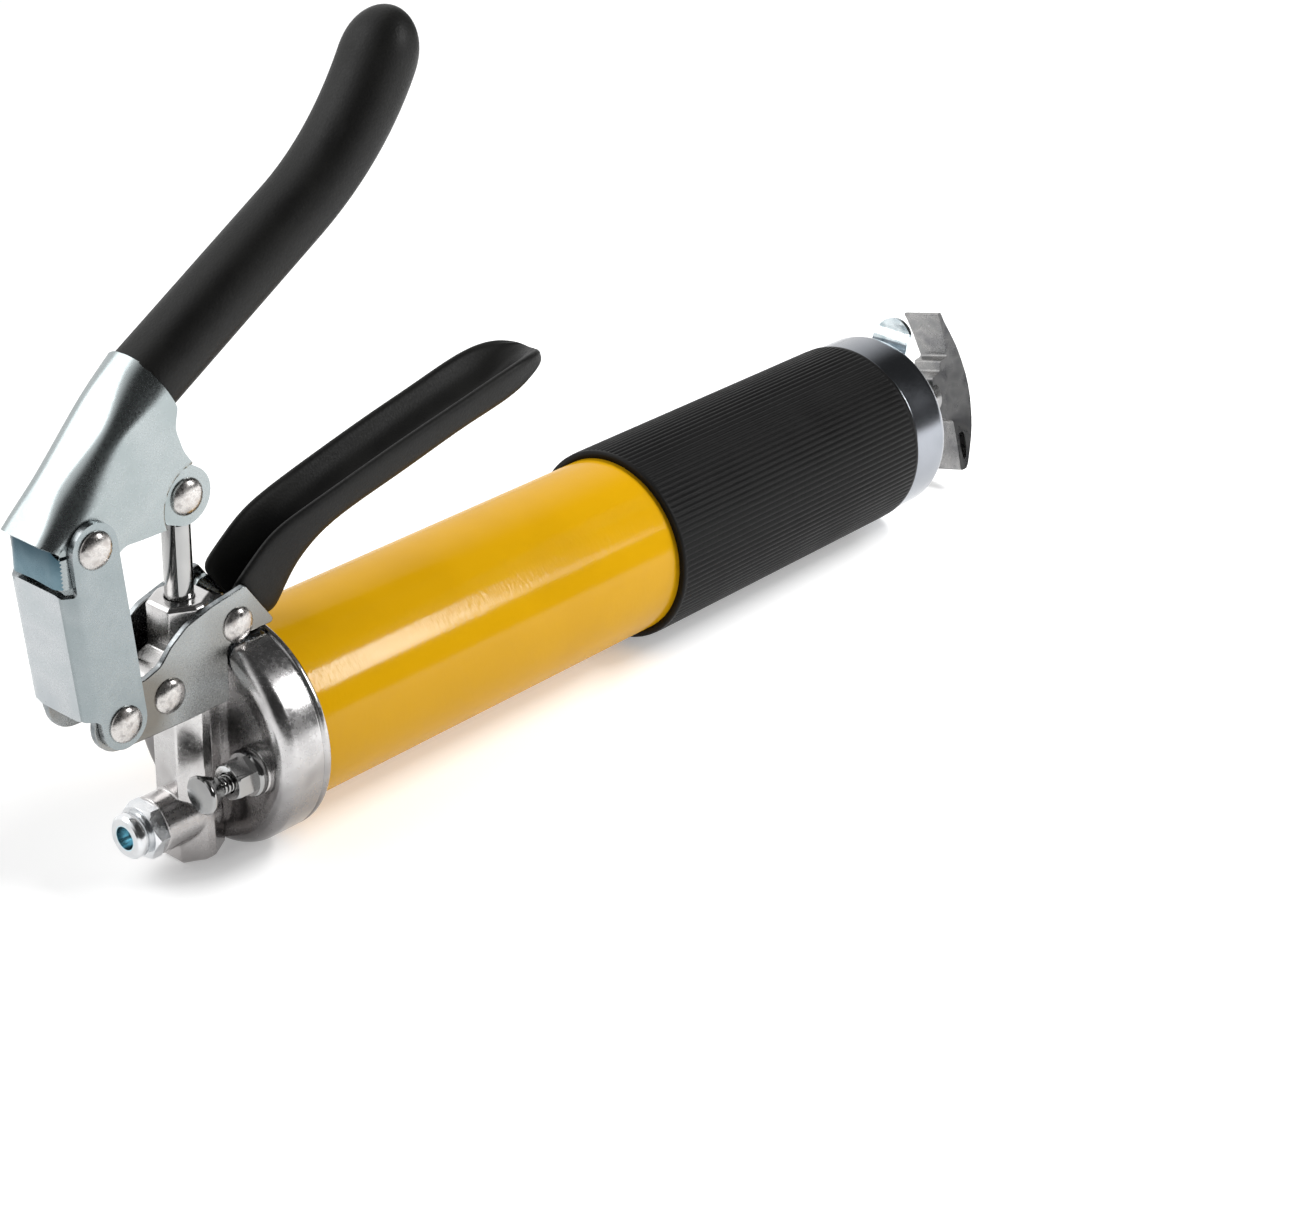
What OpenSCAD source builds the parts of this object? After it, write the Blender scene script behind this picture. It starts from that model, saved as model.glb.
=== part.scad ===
// Lever grease gun for 400 g cartridges: pump head, linkage, barrel, follower and T-handle.
// Millimetres, +Z up, +X along the barrel towards the T-handle.
// The origin is the centre of the outlet mouth, which faces -X.

/* [Barrel] */
// outside diameter of the grease barrel
barrel_od = 57; // [56.6:0.1:57.4]
// wall of the grease barrel
barrel_wall = 1.5; // [1:0.1:2]
// end of the barrel, measured from the rear rim of the pump head
barrel_end = 281; // [275:1:283]
// front edge of the rubber sleeve, from the rear rim of the pump head
sleeve_x0 = 150; // [120:5:200]
// outside diameter over the sleeve ribs
sleeve_od = 62; // [60:0.5:64]

/* [Pump] */
// diameter of the plunger
plunger_d = 8; // [6:0.5:8]
// across flats of the pump column
column_af = 16; // [15.5:0.5:16.5]
// minor diameter of the outlet thread
outlet_d = 6.92; // [6:0.02:7.2]
// depth of the outlet thread
outlet_len = 7; // [5:0.5:8]

/* [Linkage] */
// diameter of the rivet shanks
rivet_d = 6; // [5:0.5:6]
// diameter of the domed rivet heads
rivet_head_d = 10.6; // [9:0.2:11]
// radius of the rounded ends of the link
link_end_r = 7.3; // [6.5:0.1:7.4]

/* [Follower] */
// diameter of the follower rod
rod_d = 7; // [6:0.5:7]
// half length of the T-handle bar
tee_half = 29; // [25:1:32]
// turn of the T-handle about the rod, degrees from upright
tee_turn = 15; // [0:5:90]

/* [Hidden] */
$fn = 48;

// outlet mouth in the barrel frame (x from the rear rim of the head, z from the barrel axis)
out_x = -48;
out_z = -19.4;
// linkage pivots in the barrel frame, as x and z
PA = [-61.2, 77.2];
PB = [-55.1, 24.3];
PP = [-24.4, 77.3];
C1 = [-38.1, 25.1];
C2 = [-13.4, 37.3];
col_x = PP[0];
col_r = column_af / sqrt(3);
col_z0 = -33.3;
col_z1 = 46.5;
barrel_r = barrel_od / 2;
barrel_ri = barrel_r - barrel_wall;
gap = 0.3;
flange_r = 33;
flange_x0 = -17;
flange_x1 = -1.2;
socket_x = -12;
gasket_t = 1.5;
tube_x0 = socket_x + gasket_t;
sleeve_x1 = 270.3;
cap_x0 = 270.6;
cap_x1 = 288;
cap_r = 30.3;
run = 0.05;
plunger_r = plunger_d / 2;
plunger_z0 = 13;
bleed_y = -18.4;
bleed_z = -3.6;
rod_r = rod_d / 2;
foll_x = 12;
tee_x = 322;
// planes of the pressed plates, as distances from the middle plane
ear_in = 3.1;
plate_in = 8.5;
plate_out = 10.5;
strip_in = 10.7;
strip_out = 12.7;
web_dir = atan2(36, 34);
grip_r = 9.7;
grip_ang = 31.5;
grip_end = 61.5;
grip_bend_r = 90;
G0 = [-32.6, 111.3];
grip_run = 61.5;
G1 = [G0[0] + grip_run * cos(grip_ang), G0[1] + grip_run * sin(grip_ang)];
GC = [G1[0] - grip_bend_r * sin(grip_ang), G1[1] + grip_bend_r * cos(grip_ang)];
G2 = [GC[0] + grip_bend_r * sin(grip_end), GC[1] - grip_bend_r * cos(grip_end)];

STEEL = [0.78, 0.8, 0.83];
CAST = [0.7, 0.7, 0.72];
ZINC = [0.74, 0.8, 0.84];
BLACK = [0.1, 0.1, 0.1];
YELLOW = [0.95, 0.72, 0.05];
RUBBER = [0.14, 0.14, 0.14];

module place() {
  translate([-out_x, 0, -out_z]) children();
}

// plate in the X-Z plane between y0 and y1, from a 2D outline in x and z
module slab(y0, y1) {
  translate([0, y1, 0]) rotate([90, 0, 0]) linear_extrude(height = y1 - y0) children();
}

// the same plate on both sides of the middle plane
module both(y0, y1) {
  slab(y0, y1) children();
  slab(-y1, -y0) children();
}

// 2D strip with round ends from p to q
module strip2d(p, q, r) {
  d = norm(q - p);
  a = atan2(q[1] - p[1], q[0] - p[0]);
  translate(p) circle(r = r);
  translate(q) circle(r = r);
  translate(p) rotate(a) translate([0, -r]) square([d, 2 * r]);
}

// cylinder along X from x0 to x1
module xcyl(x0, x1, r) {
  translate([x0, 0, 0]) rotate([0, 90, 0]) cylinder(r = r, h = x1 - x0);
}

// cylinder along Y centred on the middle plane, at x and z
module ycyl(p, r, half) {
  translate([p[0], half, p[1]]) rotate([90, 0, 0]) cylinder(r = r, h = 2 * half);
}

// solid of revolution about X from points given as [x, r]
module xturn(pts) {
  rotate([0, 90, 0]) rotate_extrude() polygon([for (p = pts) [p[1], p[0]]]);
}

// rivet through the plates: shank to half, domed heads outside it
module rivet(p, shank_r, half, head_r, dome) {
  ycyl(p, shank_r, half);
  R = (head_r * head_r + dome * dome) / (2 * dome);
  for (s = [-1, 1])
    intersection() {
      translate([p[0], s * (half + dome - R), p[1]]) sphere(r = R);
      translate([p[0], s * half, p[1]]) rotate([s * -90, 0, 0]) cylinder(r = head_r + 1, h = dome + 1);
    }
}

// coil along +Z: mean radius, wire, length and turns
module coil(r, wire, len, turns, steps) {
  w = 360 * wire / (len / turns);
  n = ceil(w / 40);
  a = [for (i = [0 : n]) i * w / n];
  outer = [for (t = a) [(r + wire / 2) * cos(t), (r + wire / 2) * sin(t)]];
  inner = [for (i = [n : -1 : 0]) [(r - wire / 2) * cos(a[i]), (r - wire / 2) * sin(a[i])]];
  linear_extrude(height = len, twist = -360 * turns, slices = turns * steps, $fn = 6)
    polygon(concat(outer, inner));
}

// ---- pump head -------------------------------------------------------------

module head_flange() {
  rim = [for (a = [0 : 15 : 90]) [flange_x0 + 4 - 4 * sin(a), flange_r - 4 + 4 * cos(a)]];
  xturn(concat([[flange_x0 + 1.6, 0], [flange_x0 + 1.6, 25], [flange_x0, 26.4]],
    [for (i = [6 : -1 : 0]) rim[i]],
    [[flange_x1 - 2.6, flange_r], [flange_x1 - 2.4, flange_r - 0.5], [flange_x1 - 2, flange_r],
     [flange_x1 - 0.4, flange_r], [flange_x1, flange_r - 0.4], [flange_x1, 0]]));
}

module head_column() {
  intersection() {
    translate([col_x, 0, col_z0]) rotate(90) linear_extrude(height = col_z1 - col_z0)
      circle(r = col_r, $fn = 6);
    translate([col_x, 0, col_z0]) rotate_extrude() polygon([[0, 0], [8.4, 0], [col_r + 0.6, 1.2],
      [col_r + 0.6, col_z1 - col_z0 - 3.2], [7.6, col_z1 - col_z0], [0, col_z1 - col_z0]]);
    translate([-60, -plate_in + 0.1, -60]) cube([60, 2 * plate_in - 0.2, 120]);
  }
}

module head_casting() {
  color(CAST) place() difference() {
    union() {
      head_flange();
      head_column();
      translate([col_x, -4, -24]) cube([flange_x0 + 3 - col_x, 8, 54]);
      translate([0, 0, out_z]) xcyl(-39, col_x, 8.4);
      slab(-plate_in + 0.1, plate_in - 0.1) translate(C1) circle(r = 6.4);
      slab(-5, 5) polygon([[C1[0], C1[1] - 6], [col_x, C1[1] - 9], [col_x, C1[1] + 9],
        [C1[0], C1[1] + 6]]);
      slab(-5.2, 5.2) polygon([[-16.5, 28], [-16.5, 36], [-15, 41.6], [-9.5, 41.6], [-7, 34], [-6, 28]]);
      translate([0, bleed_y, bleed_z]) xcyl(flange_x0 - 0.4, socket_x, 7);
    }
    xcyl(socket_x, 1, barrel_r + gap);
    translate([col_x, 0, -10]) cylinder(r = plunger_r + run, h = 60);
    translate([col_x, 0, col_z1 - 5]) cylinder(r = plunger_r + 2.3, h = 3);
    translate([col_x, 0, out_z - 2.5]) cylinder(r = 2.5, h = 15);
    translate([0, 0, 8]) xcyl(col_x, 0, 3);
    translate([0, 0, out_z]) xcyl(-40, -33, 5);
    translate([0, 0, out_z]) xcyl(-33.5, -30.6, 3.6);
    translate([0, 0, out_z]) xcyl(-31, col_x, 1.9);
    translate([0, bleed_y, bleed_z]) xcyl(flange_x0 - 3, 0, 3.1);
    ycyl(C1, rivet_d / 2, 20);
    ycyl(C2, rivet_d / 2, 20);
  }
}

module outlet_adaptor() {
  color(ZINC) place() translate([0, 0, out_z]) difference() {
    union() {
      xturn([[out_x, 0], [out_x, 5.6], [out_x + 0.9, 6.5], [out_x + 3.2, 6.5], [out_x + 3.7, 5.5],
        [out_x + 4.8, 5.5], [out_x + 4.8, 0]]);
      intersection() {
        translate([out_x + 4.7, 0, 0]) rotate([0, 90, 0]) rotate(30) linear_extrude(height = 4.3)
          circle(r = 15 / sqrt(3), $fn = 6);
        xturn([[out_x + 4.7, 0], [out_x + 4.7, 7.4], [out_x + 6, 8.8], [-39, 8.8], [-39, 0]]);
      }
      xcyl(-39.1, -33.6, 5);
    }
    xcyl(out_x - 1, out_x + outlet_len, outlet_d / 2);
    xcyl(out_x, -33, 1.7);
    xcyl(-37.5, -33, 3.2);
  }
}

module check_ball() {
  color(STEEL) place() translate([-32.6, 0, out_z]) sphere(r = 2.6);
}

module check_spring() {
  color(STEEL) place() translate([-37.4, 0, out_z]) rotate([0, 90, 0]) coil(2.2, 0.6, 2.9, 3, 16);
}

module bleeder_body() {
  color(ZINC) place() translate([0, bleed_y, bleed_z]) difference() {
    union() {
      xturn([[-20.2, 0], [-20.2, 6.4], [-19.6, 6.9], [flange_x0 - 0.7, 6.9], [flange_x0 - 0.4, 6.4],
        [flange_x0 - 0.4, 0]]);
      intersection() {
        translate([-26.4, 0, 0]) rotate([0, 90, 0]) linear_extrude(height = 7)
          circle(r = 10 / sqrt(3), $fn = 6);
        xturn([[-26.4, 0], [-26.4, 4.9], [-25.4, 6.2], [-19, 6.2], [-19, 0]]);
      }
      xcyl(flange_x0 - 0.5, socket_x + 1, 3.1);
    }
    xcyl(-27, -8, 1.6);
    xcyl(-27, -22.5, 3.1);
    xcyl(-13.6, -8, 2.5);
  }
}

module bleeder_button() {
  color(STEEL) place() translate([0, bleed_y, bleed_z]) xturn([[-36.2, 0], [-36.2, 5.2], [-35.7, 5.7],
    [-35, 5.6], [-30.2, 3.2], [-29.6, 1.5], [-13.4, 1.5], [-12.6, 2.3], [-11.4, 2.3], [-11.4, 0]]);
}

module bleeder_spring() {
  color(STEEL) place() translate([-29.4, bleed_y, bleed_z]) rotate([0, 90, 0]) coil(2.4, 0.8, 6.8, 5, 16);
}

// ---- plunger and linkage ---------------------------------------------------

module plunger() {
  color(STEEL) place() difference() {
    union() {
      translate([col_x, 0, plunger_z0]) cylinder(r = plunger_r, h = 68.6 - plunger_z0);
      intersection() {
        translate([col_x, 0, 66]) cylinder(r = plunger_r, h = 8);
        slab(-3, 3) translate([col_x - 6, 60]) square([12, 12]);
      }
      slab(-3, 3) translate(PP) circle(r = 7);
    }
    slab(-5, 5) strip2d(PP - [1.0, 0], PP + [1.0, 0], 2.95);
  }
}

module plunger_seal() {
  color(RUBBER) place() translate([col_x, 0, col_z1 - 4.9]) difference() {
    cylinder(r = plunger_r + 2.2, h = 2.8);
    translate([0, 0, -1]) cylinder(r = plunger_r + run, h = 5);
  }
}

module plunger_pin() {
  color(STEEL) place() rivet(PP, 2.6, 5.1, rivet_head_d / 2, 2.2);
}

// side outline of the pressed lever, from the nose to the grip
module lever_side() {
  polygon([[-75, 81], [-40.4, 117.7], [-37.5, 119.6], [-27.4, 103.1], [-30.2, 101.2],
    [-31.1, 97.5], [-30.4, 93.4], [-27.6, 88.4], [-31.6, 82.4], [-35, 73.2], [-50.5, 73.6],
    [-53.4, 70.6], [-58, 68.4], [-62, 67.9], [-69.4, 67.9], [-71.4, 69.6], [-71.4, 75.6]]);
}

// U-shaped section of the lever, laid along the line of its web
module lever_section(r, half) {
  translate([-75, 0, 81]) rotate([0, -web_dir, 0]) translate([-14, 0, 0]) rotate([90, 0, 90])
    linear_extrude(height = 80) {
      for (s = [-1, 1]) translate([s * (half - r), -r]) circle(r = r);
      translate([-half, -60]) square([2 * half, 60 - r]);
      translate([-half + r, -r - 1]) square([2 * (half - r), r + 1]);
    }
}

// point on the grip centre line at angle a of the bend, moved sideways by s
function bend(a, s) = [GC[0] + (grip_bend_r - s) * sin(a), GC[1] - (grip_bend_r - s) * cos(a)];
function straight(d, s) = [G0[0] + d * cos(grip_ang) - s * sin(grip_ang),
  G0[1] + d * sin(grip_ang) + s * cos(grip_ang)];

// steel tongue inside the moulded grip
module grip_core2d(s) {
  polygon(concat([straight(-7, s), straight(grip_run, s)],
    [for (i = [1 : 5]) bend(grip_ang + i * 6, s)],
    [for (i = [5 : -1 : 1]) bend(grip_ang + i * 6, -s)],
    [straight(grip_run, -s), straight(-7, -s)]));
}

module lever() {
  color(ZINC) place() difference() {
    union() {
      difference() {
        intersection() {
          lever_section(6, plate_out);
          slab(-plate_out, plate_out) lever_side();
        }
        difference() {
          lever_section(4, plate_out - 2);
          // metal left standing inside: web, chin, joggle walls
          translate([-75, 0, 81]) rotate([0, -web_dir, 0]) translate([-20, -20, -2]) cube([100, 40, 20]);
          slab(-20, 20) polygon([[-80, 84], [-80, 60], [-69.4, 60], [-69.4, 76.4], [-73, 82]]);
          slab(-20, 20) polygon([[-27.6, 88.4], [-31.6, 82.4], [-35, 73.2], [-37, 73.2],
            [-33.5, 83], [-30, 89.4], [-29, 90.5]]);
        }
        slab(-ear_in, ear_in) polygon([[-60, 60], [-60, 84], [-40, 98], [-28, 98], [-20, 84], [-26, 60]]);
      }
      both(ear_in, ear_in + 2) {
        translate(PP) circle(r = 8.3);
        polygon([[-29.8, 89.6], [-27.6, 88.4], [-20.3, 84.5], [-25.4, 69.1], [-35, 73.2],
          [-36.6, 73.2], [-33, 83]]);
      }
      slab(-7, 7) grip_core2d(1.2);
      both(5, 7) grip_core2d(6.5);
    }
    ycyl(PA, rivet_d / 2 + run, 20);
    ycyl(PP, 2.6 + run, 20);
    slab(-plate_in + 0.1, plate_in - 0.1) polygon([[-69.4, 60], [-69.4, 74], [-60, 84], [-38, 84],
      [-38, 60]]);
  }
}

// rings of the moulded grip as [point on the centre line, direction, half depth, half width]
function tip(t) = [G2[0] + t * cos(grip_end), G2[1] + t * sin(grip_end)];
GRIP = concat(
  [for (d = [0 : 20.5 : grip_run]) [straight(d, 0), grip_ang, grip_r - 0.3, grip_r]],
  [for (i = [1 : 6]) [bend(grip_ang + 5 * i, 0), grip_ang + 5 * i, grip_r - 0.3 + 0.1 * i,
    grip_r + 0.05 * i]],
  [for (a = [0 : 15 : 75]) [tip(4 + 11 * sin(a)), grip_end, (grip_r + 0.3) * cos(a),
    (grip_r + 0.3) * cos(a)]],
  [[tip(14.9), grip_end, 1.2, 1.2]]);
RING = 28;

function ring_pt(g, k) = [
  g[0][0] - g[2] * cos(360 * k / RING) * sin(g[1]),
  g[3] * sin(360 * k / RING),
  g[0][1] + g[2] * cos(360 * k / RING) * cos(g[1])];

module sweep(rings) {
  n = len(rings);
  polyhedron(
    points = [for (g = rings) for (k = [0 : RING - 1]) ring_pt(g, k)],
    faces = concat(
      [[for (k = [RING - 1 : -1 : 0]) k]],
      [for (i = [0 : n - 2]) for (k = [0 : RING - 1])
        [i * RING + k, i * RING + (k + 1) % RING, (i + 1) * RING + (k + 1) % RING]],
      [for (i = [0 : n - 2]) for (k = [0 : RING - 1])
        [i * RING + k, (i + 1) * RING + (k + 1) % RING, (i + 1) * RING + k]],
      [[for (k = [0 : RING - 1]) (n - 1) * RING + k]]));
}

module lever_grip() {
  color(BLACK) place() difference() {
    sweep(GRIP);
    slab(-7, 7) grip_core2d(1.2);
    both(5, 7) grip_core2d(6.5);
    slab(-20, 20) lever_side();
  }
}

module link() {
  u = (PB - PA) / norm(PB - PA);
  n = [u[1], -u[0]];
  t0 = 9.9;
  t1 = norm(PB - PA) - 4.4;
  f = 10.9;
  color(ZINC) place() difference() {
    union() {
      both(strip_in, strip_out) strip2d(PA, PB, link_end_r);
      both(strip_in, strip_out) polygon([PA + u * t0, PA + u * t0 + n * 8.6, PA + u * t1 + n * 8.6,
        PA + u * t1]);
      both(plate_in + 0.1, strip_out - 0.4) polygon([PA + u * t0 + n * 7.9, PA + u * t0 + n * 9,
        PA + u * t1 + n * 9, PA + u * t1 + n * 7.9]);
      both(plate_in + 0.1, plate_out + 0.1) polygon([PA + u * t0 + n * 8.4, PA + u * t0 + n * (f - 0.6),
        PA + u * t1 + n * (f - 0.6), PA + u * t1 + n * 8.4]);
      slab(-plate_out + 1.4, plate_out - 1.4) polygon([PA + u * t0 + n * (f - 2), PA + u * t0 + n * f,
        PA + u * t1 + n * f, PA + u * t1 + n * (f - 2)]);
    }
    ycyl(PA, rivet_d / 2 + run, 20);
    ycyl(PB, rivet_d / 2 + run, 20);
  }
}

module link_top_rivet() {
  color(STEEL) place() rivet(PA, rivet_d / 2, strip_out + 0.1, rivet_head_d / 2, 2.2);
}

module link_bottom_rivet() {
  color(STEEL) place() rivet(PB, rivet_d / 2, strip_out + 0.1, rivet_head_d / 2, 2.2);
}

module bracket2d() {
  difference() {
    union() {
      translate(PB) circle(r = 8.6);
      polygon([[-55.1, 15.7], [-45.5, 15.4], [-31.7, 15.2], [-17.4, 15.6], [-17.4, 30.6], [-16.2, 33.4],
        [0.2, 33.4], [-10.2, 47.8], [-12.1, 47.6], [-22.2, 45.6], [-30, 43.4], [-34.2, 41.4], [-37, 38.8],
        [-40.5, 35.1], [-43.6, 33.4], [-47.5, 32.8], [-55.1, 32.9]]);
    }
    translate(C1) circle(r = rivet_d / 2);
    translate(C2) circle(r = rivet_d / 2);
    translate(PB) circle(r = rivet_d / 2 + run);
  }
}

module bracket_left() {
  color(ZINC) place() slab(-plate_out, -plate_in) bracket2d();
}

module bracket_right() {
  color(ZINC) place() slab(plate_in, plate_out) bracket2d();
}

module bracket_front_rivet() {
  color(STEEL) place() rivet(C1, rivet_d / 2, plate_out, rivet_head_d / 2 - 0.2, 2);
}

module bracket_rear_rivet() {
  color(STEEL) place() rivet(C2, rivet_d / 2, plate_out, rivet_head_d / 2 - 0.2, 2);
}

// ---- fixed handle ----------------------------------------------------------

rim = [[1.7, 57.2], [9, 60.6], [19.6, 63.4], [47.6, 70.2], [71.9, 75.3], [92, 79.8], [104, 80.6],
  [112, 78.4]];
keel = [[114.5, 75.6], [108, 73.4], [98, 69.2], [91, 67.6], [76.2, 65], [53.6, 59.4], [33.7, 55.2],
  [21, 51.6],
  [15.7, 48.4], [11.4, 43.6], [8.6, 39], [4.5, 31.6]];

// plan outline from half widths given as [x, half]
module plan(pts) {
  translate([0, 0, 10]) linear_extrude(height = 90)
    polygon(concat(pts, [for (i = [len(pts) - 1 : -1 : 0]) [pts[i][0], -pts[i][1]]]));
}

module handle_steel_solid() {
  intersection() {
    slab(-12, 12) polygon(concat([[-17.4, 34.4], [-17.4, 42.6], [-10.4, 47.8]],
      [for (p = rim) p + [-0.6, -1.2]],
      [for (p = keel) p + [-1.6, 1.4]], [[-0.6, 34.4]]));
    plan([[-20, 7.4], [3, 7.4], [14, 8.4], [95, 9.4], [103, 8.4], [108.6, 6], [112.2, 2]]);
  }
}

module handle_cavity(rise, half) {
  intersection() {
    slab(-12, 12) polygon(concat([[-30, 30], [-30, 99], [120, 99]],
      [for (p = keel) p + [-rise * 1.5, rise]], [[-1, 30]]));
    plan([[-30, half], [3, half], [14, half + 1], [95, half + 2], [102, half + 1],
      [106.5, half - 1.6], [108.6, 0.6]]);
  }
}

module handle_channel() {
  color(STEEL) place() difference() {
    handle_steel_solid();
    handle_cavity(3.4, 5.4);
    ycyl(C2, rivet_d / 2, 20);
  }
}

module handle_vinyl() {
  color(BLACK) place() difference() {
    intersection() {
      slab(-12, 12) polygon(concat([[-12.4, 45.6], [-9.6, 48.4]], rim, keel, [[-2.4, 34.2]]));
      plan([[-14, 8.4], [3, 8.4], [14, 9.6], [95, 10.6], [104, 9.6], [110, 7], [113.4, 3.2],
        [114.4, 0.4]]);
    }
    difference() {
      handle_steel_solid();
      handle_cavity(3.4, 5.4);
    }
    handle_cavity(4.2, 4.6);
  }
}

// ---- barrel ----------------------------------------------------------------

module barrel_gasket() {
  color(RUBBER) place() difference() {
    xcyl(socket_x, tube_x0, barrel_r);
    xcyl(socket_x - 1, 0, barrel_ri - 1);
  }
}

module barrel_tube() {
  color(YELLOW) place() difference() {
    xcyl(tube_x0, barrel_end, barrel_r);
    xcyl(tube_x0 - 1, barrel_end + 1, barrel_ri);
  }
}

module grip_sleeve() {
  r = sleeve_od / 2;
  color(RUBBER) place() difference() {
    xturn([[sleeve_x0, 0], [sleeve_x0, r - 0.8], [sleeve_x0 + 0.8, r], [sleeve_x1 - 0.8, r],
      [sleeve_x1, r - 0.8], [sleeve_x1, 0]]);
    xcyl(sleeve_x0 - 1, sleeve_x1 + 1, barrel_r);
  }
}

module end_cap() {
  color(STEEL) place() difference() {
    xturn([[cap_x0, 0], [cap_x0, cap_r], [cap_x1 - 4, cap_r], [cap_x1 - 1.6, cap_r - 0.9],
      [cap_x1 - 0.4, cap_r - 2.6], [cap_x1, cap_r - 4.4], [cap_x1, 0]]);
    xcyl(cap_x0 - 1, cap_x1 - 3, barrel_r + gap);
    xcyl(cap_x0, cap_x1 + 1, 7);
  }
}

module rod_guide() {
  color(ZINC) place() difference() {
    xturn([[cap_x1 - 5, 0], [cap_x1 - 5, 11], [cap_x1 - 3, 11], [cap_x1 - 3, 7], [cap_x1, 7],
      [cap_x1 + 0.8, 6], [cap_x1 + 0.8, 0]]);
    xcyl(cap_x1 - 6, cap_x1 + 2, rod_r + run);
  }
}

module rod_latch() {
  x0 = cap_x1 + 2.4;
  color(ZINC) place() difference() {
    union() {
      translate([x0, -8, -17]) cube([1.6, 16, 37.4]);
      ycyl([x0 + 0.8, -17], 1.9, 8);
      translate([x0, 0, 20]) rotate([0, 38, 0]) intersection() {
        translate([0, -8, 0]) cube([1.6, 16, 12]);
        translate([-1, 0, 2]) rotate([0, 90, 0]) cylinder(r = 9, h = 4);
      }
    }
    ycyl([x0 + 0.8, -17], 1 + run, 12);
    xcyl(x0 - 4, x0 + 4, rod_r + 0.55);
  }
}

module latch_hinge_pin() {
  x0 = cap_x1 + 3.2;
  color(STEEL) place() {
    ycyl([x0, -17], 1, 10.2);
    for (s = [-1, 1]) translate([cap_x1, s * 9.4 - 0.9, -19]) cube([5.2, 1.8, 4]);
  }
}

module latch_spring() {
  color(STEEL) place() translate([cap_x1 + 0.1, 0, 14]) rotate([0, 90, 0]) coil(3, 0.6, 2.2, 2, 16);
}

// ---- follower --------------------------------------------------------------

module follower_rod() {
  color(STEEL) place() {
    difference() {
      xcyl(foll_x - 1.9, tee_x - 3, rod_r);
      rotate([-tee_turn, 0, 0]) ycyl([tee_x - 12, 0], 1.6, 20);
    }
    xcyl(foll_x - 2, foll_x + 0.4, 5);
  }
}

module follower_cup() {
  color(RUBBER) place() difference() {
    xturn([[foll_x + 2.5, 0], [foll_x + 2.5, 20], [foll_x - 1, 25.4], [foll_x - 1, 26.7],
      [foll_x + 2.5, 26.4],
      [foll_x + 6, 24], [foll_x + 6, 0]]);
    xcyl(foll_x - 8, foll_x + 12, 6);
  }
}

module follower_plate() {
  color(ZINC) place() difference() {
    xturn([[foll_x + 6, 0], [foll_x + 6, 22], [foll_x + 7.4, 22], [foll_x + 7.4, 0]]);
    xcyl(foll_x, foll_x + 12, 6);
  }
}

module follower_washer() {
  color(ZINC) place() difference() {
    xcyl(foll_x + 1.3, foll_x + 2.5, 18);
    xcyl(foll_x, foll_x + 12, 6);
  }
}

// bush that carries the rod and clamps the rubber cup between washer and plate
module follower_nut() {
  color(STEEL) place() difference() {
    union() {
      xcyl(foll_x + 0.5, foll_x + 7.4, 6);
      xcyl(foll_x + 0.5, foll_x + 1.3, 8);
      translate([foll_x + 7.4, 0, 0]) rotate([0, 90, 0]) linear_extrude(height = 4)
        circle(r = 14 / sqrt(3), $fn = 6);
    }
    xcyl(foll_x, foll_x + 12, rod_r + run);
  }
}

module follower_spring() {
  x0 = foll_x + 7.5;
  color(STEEL) place() translate([x0, 0, 0]) rotate([0, 90, 0]) coil(18, 2.2, cap_x1 - 5.2 - x0, 16, 16);
}

module t_handle() {
  r = tee_half;
  h = 5.5;
  color(CAST) place() rotate([-tee_turn, 0, 0]) difference() {
    union() {
      intersection() {
        slab(-h, h) polygon([[tee_x + 1.5, r], [tee_x + 4.6, r * 0.86], [tee_x + 8, r * 0.6],
          [tee_x + 10.2, r * 0.3],
          [tee_x + 11, 0], [tee_x + 10.2, -r * 0.3], [tee_x + 8, -r * 0.6],
            [tee_x + 4.6, -r * 0.86], [tee_x + 1, -r],
          [tee_x - 6, -r], [tee_x - 6, -r * 0.84], [tee_x - 1, -r * 0.6], [tee_x - 1, -8],
            [tee_x - 8, -6.4],
          [tee_x - 8, 6.4], [tee_x - 1, 8], [tee_x - 1, r * 0.6], [tee_x - 6, r * 0.84], [tee_x - 6, r]]);
        translate([tee_x, 0, 0]) sphere(r = r + 3);
      }
      xcyl(tee_x - 26, tee_x + 2, 7);
    }
    xcyl(tee_x - 27, tee_x - 3, rod_r);
    ycyl([tee_x - 12, 0], 1.6, 20);
    both(2, 6) polygon([[tee_x + 1.6, -10], [tee_x + 6.6, -10], [tee_x + 4.6, -r * 0.6],
      [tee_x + 1.8, -r * 0.74],
      [tee_x + 0.6, -r * 0.6]]);
  }
}

module t_handle_pin() {
  color(STEEL) place() rotate([-tee_turn, 0, 0]) ycyl([tee_x - 12, 0], 1.6, 7.2);
}

head_casting();
outlet_adaptor();
check_ball();
check_spring();
plunger();
plunger_seal();
plunger_pin();
lever();
lever_grip();
link();
link_top_rivet();
link_bottom_rivet();
bracket_left();
bracket_right();
bracket_front_rivet();
bracket_rear_rivet();
handle_channel();
handle_vinyl();
bleeder_body();
bleeder_button();
bleeder_spring();
barrel_gasket();
barrel_tube();
grip_sleeve();
end_cap();
rod_guide();
rod_latch();
latch_hinge_pin();
latch_spring();
follower_rod();
follower_cup();
follower_plate();
follower_washer();
follower_nut();
follower_spring();
t_handle();
t_handle_pin();
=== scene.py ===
import math

import bmesh
import bpy
from mathutils import Matrix, Vector
from mathutils.geometry import tessellate_polygon


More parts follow.
